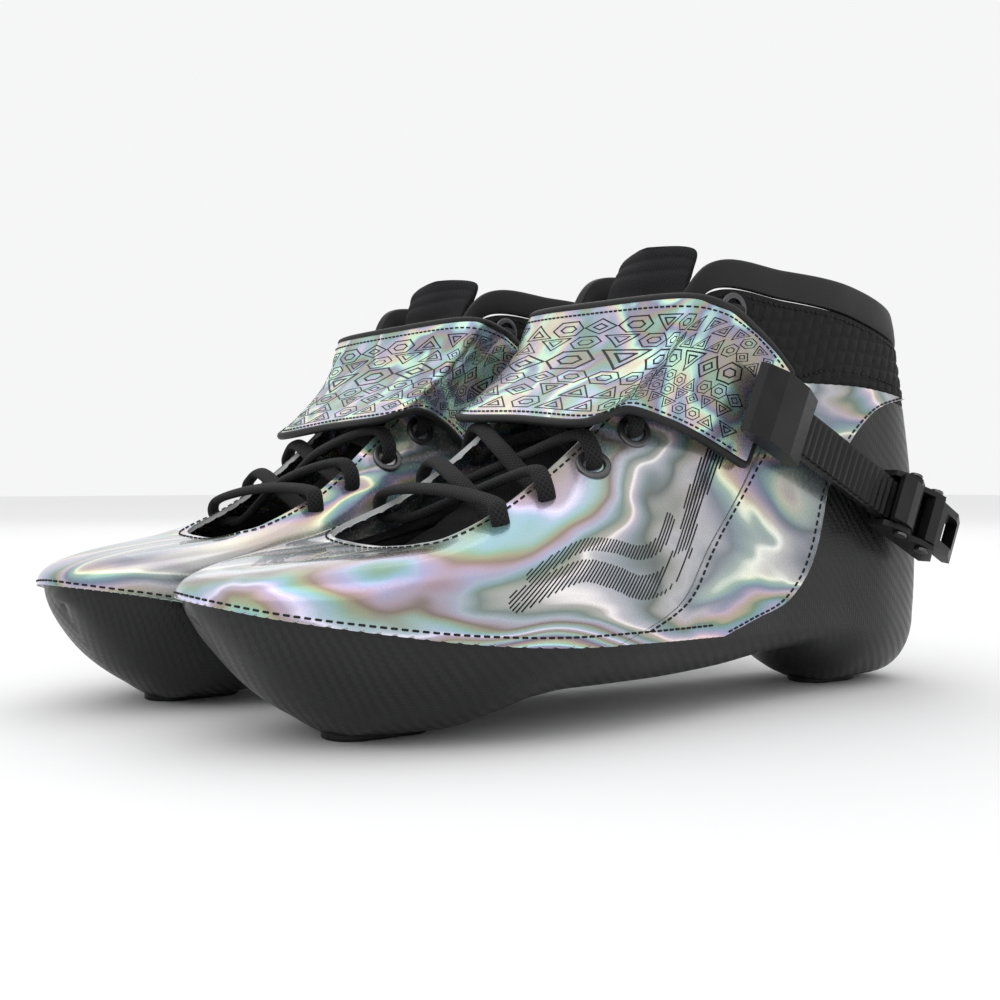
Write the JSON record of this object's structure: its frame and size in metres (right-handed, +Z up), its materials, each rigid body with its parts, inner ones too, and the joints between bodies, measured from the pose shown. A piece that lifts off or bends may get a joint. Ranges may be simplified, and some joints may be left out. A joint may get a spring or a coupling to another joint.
{
  "type": "speed skates",
  "caption": "Pair of low-cut inline speed-skating boots with a moulded carbon shell, laced foil upper, instep strap and ankle ratchet buckle, without frames or wheels.",
  "frame": {"origin": "on the floor, under the middle of the pair's bounding box", "axes": "+Z up, toes towards -Y, the wearer's left boot on the +X side"},
  "size_m": [0.216, 0.3016, 0.1533],
  "materials": {
    "carbon": "satin twill-weave carbon laminate",
    "foil": "glossy silver holographic foil on microfibre",
    "fabric": "black quilted synthetic with stitched seams",
    "lining": "black padded mesh lining",
    "cord": "black braided oval lace",
    "moulding": "fine-grained black nylon moulding",
    "steel": "gunmetal",
    "black_steel": "black anodised",
    "foam": "matt foam with fabric top"
  },
  "bodies": {
    "left_boot": {"left_carbon_shell": "carbon", "left_front_mount_insert": "black_steel", "left_rear_mount_insert": "black_steel", "left_footbed": "foam", "left_upper": "foil", "left_outer_overlay": "foil", "left_inner_overlay": "foil", "left_liner": "lining", "left_ankle_cuff": "fabric", "left_collar_band": "fabric", "left_tongue": "lining", "left_lace": "cord", "left_buckle_frame": "moulding", "left_lever_pin": "steel", "left_pawl_pin": "steel", "left_heel_strap": "moulding", "left_heel_screw": "steel", "left_pull_tab": "fabric", "left_eyelet_outer_3": "steel", "left_eyelet_outer_4": "steel", "left_eyelet_outer_6": "steel", "left_eyelet_inner_3": "steel", "left_eyelet_inner_4": "steel", "left_eyelet_inner_6": "steel"},
    "left_strap": {"left_instep_strap": "foil", "left_strap_end_cap": "moulding", "left_ladder_strap": "moulding"},
    "left_lever": {"left_buckle_lever": "moulding"},
    "left_release_tab": {"left_release_tab": "moulding"},
    "right_boot": {"right_carbon_shell": "carbon", "right_front_mount_insert": "black_steel", "right_rear_mount_insert": "black_steel", "right_footbed": "foam", "right_upper": "foil", "right_outer_overlay": "foil", "right_inner_overlay": "foil", "right_liner": "lining", "right_ankle_cuff": "fabric", "right_collar_band": "fabric", "right_tongue": "lining", "right_lace": "cord", "right_buckle_frame": "moulding", "right_lever_pin": "steel", "right_pawl_pin": "steel", "right_heel_strap": "moulding", "right_heel_screw": "steel", "right_pull_tab": "fabric", "right_eyelet_outer_3": "steel", "right_eyelet_outer_4": "steel", "right_eyelet_outer_6": "steel", "right_eyelet_inner_3": "steel", "right_eyelet_inner_4": "steel", "right_eyelet_inner_6": "steel"},
    "right_strap": {"right_instep_strap": "foil", "right_strap_end_cap": "moulding", "right_ladder_strap": "moulding"},
    "right_lever": {"right_buckle_lever": "moulding"},
    "right_release_tab": {"right_release_tab": "moulding"}
  },
  "joints": [
    {"name": "right_boot_lift", "type": "slide", "parent": "left_boot", "child": "right_boot", "axis": [0, 0, 1], "range_m": [0, 0.25]},
    {"name": "left_strap_slide", "type": "slide", "parent": "left_boot", "child": "left_strap", "axis": [0.0268, -0.9086, 0.4168], "range_m": [0, 0.0032]},
    {"name": "left_lever_hinge", "type": "hinge", "parent": "left_boot", "child": "left_lever", "pos_m": [0.10378, 0.1121, 0.06061], "axis": [-0.0037, -0.4171, -0.9089], "range_deg": [0, 70]},
    {"name": "left_release_hinge", "type": "hinge", "parent": "left_boot", "child": "left_release_tab", "pos_m": [0.10416, 0.09938, 0.06644], "axis": [-0.0037, -0.4171, -0.9089], "range_deg": [0, 12], "stiffness_Nm_per_rad": 0.05, "springref_deg": -11.46},
    {"name": "right_strap_slide", "type": "slide", "parent": "right_boot", "child": "right_strap", "axis": [-0.0443, -0.9079, 0.4168], "range_m": [0, 0.0032]},
    {"name": "right_lever_hinge", "type": "hinge", "parent": "right_boot", "child": "right_lever", "pos_m": [-0.10348, 0.10344, 0.06061], "axis": [0.0043, 0.4171, 0.9089], "range_deg": [0, 70]},
    {"name": "right_release_hinge", "type": "hinge", "parent": "right_boot", "child": "right_release_tab", "pos_m": [-0.1041, 0.09073, 0.06644], "axis": [0.0043, 0.4171, 0.9089], "range_deg": [0, 12], "stiffness_Nm_per_rad": 0.05, "springref_deg": -11.46}
  ]
}
